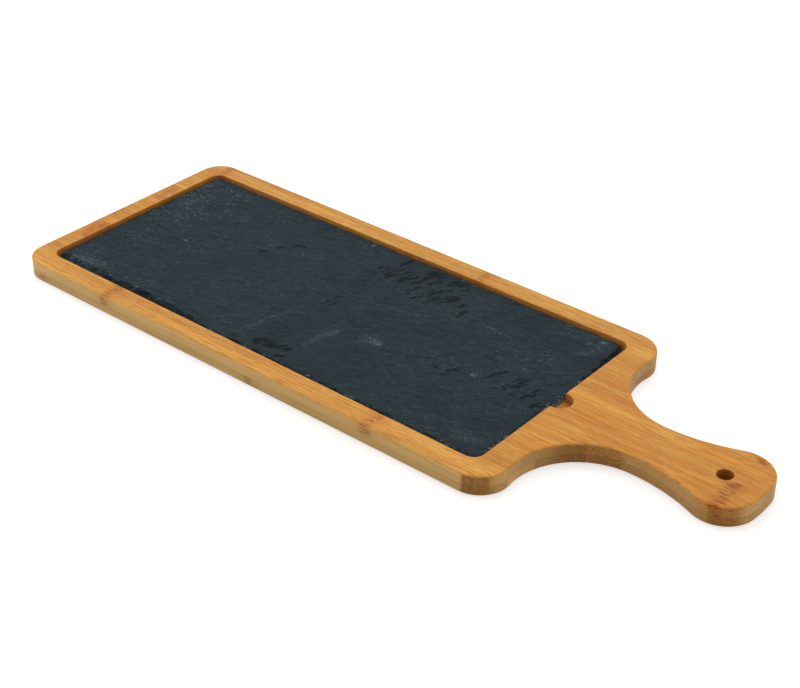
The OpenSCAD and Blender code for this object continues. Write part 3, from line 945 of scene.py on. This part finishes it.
def slate(look):
    material, add, colour, _, place = begun(look)
    marks = slateMarks
    turned = add("VectorRotate", {"rotation_type": "Z_AXIS"}, {
        "Vector": place, "Angle": marks["cleavage"]})
    scar, chip, scuff, worn = (add("Attribute", {"attribute_name": key}).outputs["Fac"]
                               for key in ("scar", "chip", "scuff", "worn"))
    noises = {}
    for key, size in slateGrain.items():
        finer = (1 / size["long"], 1 / size["wide"], 1 / size["wide"])
        vector = add("VectorMath", times, [turned, finer])
        noises[key] = add("TexNoise", None, {
            "Vector": vector, "Scale": 1.0, "Detail": size["detail"], "Roughness": 0.65})
    vector = add("VectorMath", times, [turned, (1 / marks["cell"],) * 3])
    cells = add("TexVoronoi", {"voronoi_dimensions": "2D"}, {"Vector": vector, "Scale": 1.0})

    blend = 0.0
    for key in ("clouds", "mottle", "grit", "silk"):
        blend = add("Math", timesPlus, [noises[key], slateGrain[key]["share"], blend])
    blend = add("MapRange", None, [blend, *marks["contrast"]])
    stone = add("Mix", mix, {0: blend, 6: colour["dark"], 7: colour["light"]})
    broken = add("MapRange", smooth, [scar, 0.02, 0.11, 0.0, marks["scars"]])
    stone = add("Mix", mix, {0: broken, 6: stone, 7: colour["scar"]})

    # pale threads, 0.4 mm wide, that wind over the face in places
    fromThread = add("Math", minus, [noises["threads"], 0.5])
    fromThread = add("Math", unsigned, [fromThread])
    threads = add("MapRange", smooth, [fromThread, 0.02, 0.0])
    here = add("MapRange", smooth, [noises["clouds"], 0.42, 0.58, *marks["threads"]])
    here = add("Math", times, [here, worn])
    patchy = add("MapRange", smooth, [noises["mottle"], 0.45, 0.6])
    threads = add("Math", times, [add("Math", times, [threads, here]), patchy])
    stone = add("Mix", mix, {0: threads, 6: stone, 7: colour["vein"]})

    # pale specks, thickest in places, and scuffs that catch the grit's high points; the scuff mark
    # also carries painted highlights on the chips' brinks and painted light at the finger notch
    specks = add("MapRange", smooth, [noises["grit"], 0.62, 0.76])
    clusters = add("MapRange", smooth, [noises["threads"], 0.44, 0.60, 0.1, 1.0])
    specks = add("Math", times, [specks, add("Math", times, [here, clusters])])
    lone = add("MapRange", smooth, [cells.outputs["Distance"], 0.11, 0.05])
    chance = add("SeparateXYZ", None, [cells.outputs["Color"]])
    some = add("MapRange", smooth, [chance, 0.82, 0.95, 0.0, 0.6])
    lone = add("Math", times, [add("Math", times, [lone, some]), here])
    specks = add("Math", greatest, [specks, lone])
    highs = add("MapRange", smooth, [noises["grit"], 0.44, 0.68, 0.0, marks["scuffs"]])
    scuffed = add("Math", times, [highs, scuff])
    dusted = add("Math", {**greatest, "use_clamp": True}, [specks, scuffed])
    stone = add("Mix", mix, {0: dusted, 6: stone, 7: colour["dust"]})
    # broken edges get painted shade, where their faces turn from the light, with pale flecks
    darker = add("Math", times, [chip, marks["broken"]])
    stone = add("Mix", mix, {0: darker, 6: stone, 7: colour["scar"]})
    flecks = add("MapRange", smooth, [noises["mottle"], 0.54, 0.68, 0.0, marks["flecks"]])
    flecks = add("Math", times, [chip, flecks])
    stone = add("Mix", mix, {0: flecks, 6: stone, 7: colour["vein"]})

    height = add("Math", timesPlus, [noises["grit"], 0.5, noises["silk"]])
    bump = add("Bump", None, {
        "Strength": 1.0, "Distance": marks["relief"] * mm, "Height": height})
    rough = add("MapRange", None, [noises["mottle"], 0.0, 1.0, *marks["roughness"]])
    shader = add("BsdfPrincipled", None, {
        "Base Color": stone, "Roughness": rough, "Normal": bump, "IOR": 1.5,
        "Specular IOR Level": 0.06})
    add("OutputMaterial", None, [shader])
    return material


slabForm, slabMarks = slabMesh()
stonePiece = pieceFrom(slabForm, "slate_stone", "slate_slab", slate(slateLook), "slate")
for number, name in enumerate(("scar", "chip", "scuff", "worn")):
    mark(stonePiece.data, name, slabMarks[:, number])
print("slate:", len(stonePiece.data.vertices), "vertices")

studio = {
    "floorSize": 6.0,
    "floorDrop": 0.0002,  # below the board, so that the two faces don't mix
    "floorColour": "#CDCDCD",
    "floorLift": 0.55,  # light that only the camera sees it give off, so that it shows white
    "sky": 0.58,
    "softboxes": {  # each: its power in watts, its side in metres and its place
        "overhead": (13.0, 1.6, (-0.45, 0.6, 1.6)),
        "leftFill": (7.0, 1.2, (-1.25, -0.75, 0.55)),
        "rightFill": (5.0, 1.2, (1.45, 0.55, 0.55)),
    },
}

floorMesh = bmesh.new()
half = studio["floorSize"] / 2
corners = ((-half, -half), (half, -half), (half, half), (-half, half))
floorMesh.faces.new([floorMesh.verts.new((x, y, -studio["floorDrop"])) for x, y in corners])
floorData = bpy.data.meshes.new("studio_floor")
floorMesh.to_mesh(floorData)
floorMesh.free()
floor = placed("studio_floor", floorData)


def seenDirectly(add):
    # 1 for what the camera sees, also in a mirror or through glass
    path = add("LightPath").outputs
    both = add("Math", greatest, [path["Is Camera Ray"], path["Is Glossy Ray"]])
    return add("Math", greatest, [both, path["Is Transmission Ray"]])


paper = bpy.data.materials.new("studioPaperMatt")  # white paper: no gloss, takes a soft shadow
add = nodeAdder(paper)
matt = add("BsdfDiffuse", None, {"Color": srgb(studio["floorColour"])})
lift = add("Math", times, [seenDirectly(add), studio["floorLift"]])
lift = add("Emission", None, {"Color": (1, 1, 1, 1), "Strength": lift})
add("OutputMaterial", None, [add("AddShader", None, [matt, lift])])
floorData.materials.append(paper)

world = bpy.data.worlds.new("studioRoom")
bpy.context.scene.world = world
add = nodeAdder(world)
strength = add("MapRange", None, {
    "Value": seenDirectly(add), "To Min": studio["sky"], "To Max": 1.0})
sky = add("Background", None, {"Color": (1, 1, 1, 1), "Strength": strength})
add("OutputWorld", None, [sky])

for name, (power, side, spot) in studio["softboxes"].items():
    light = bpy.data.lights.new(name, "AREA")
    light.energy = power
    light.size = side
    lamp = placed(name, light)
    lamp.location = spot
    lamp.rotation_mode = "QUATERNION"
    lamp.rotation_quaternion = (-Vector(spot)).to_track_quat("-Z", "Y")

view = {  # of the camera: angles in degrees, places in metres, and its lens in millimetres
    "azimuth": 39.735,
    "elevation": 32.491,
    "roll": 0.420,
    "distance": 0.813861,
    "target": (0.007361, -0.011091, 0.011),
    "lens": 73.835,
    "sensor": 36,
}
azimuth, elevation, roll = (math.radians(view[key]) for key in ("azimuth", "elevation", "roll"))
level = math.cos(elevation)
back = Vector((math.sin(azimuth) * level, -math.cos(azimuth) * level, math.sin(elevation)))
right = (-back).cross(Vector((0, 0, 1))).normalized()
up = right.cross(-back)
rolledRight = right * math.cos(roll) + up * math.sin(roll)
rolledUp = -right * math.sin(roll) + up * math.cos(roll)
cameraData = bpy.data.cameras.new("camera")
cameraData.lens = view["lens"]
cameraData.sensor_width = view["sensor"]
cameraData.sensor_fit = "HORIZONTAL"
camera = placed("camera", cameraData)
turned = Matrix((rolledRight, rolledUp, back)).transposed().to_4x4()
camera.matrix_world = Matrix.Translation(Vector(view["target"]) + back * view["distance"]) @ turned
bpy.context.scene.camera = camera
bpy.context.scene.view_settings.view_transform = "Standard"
print("studio ready")
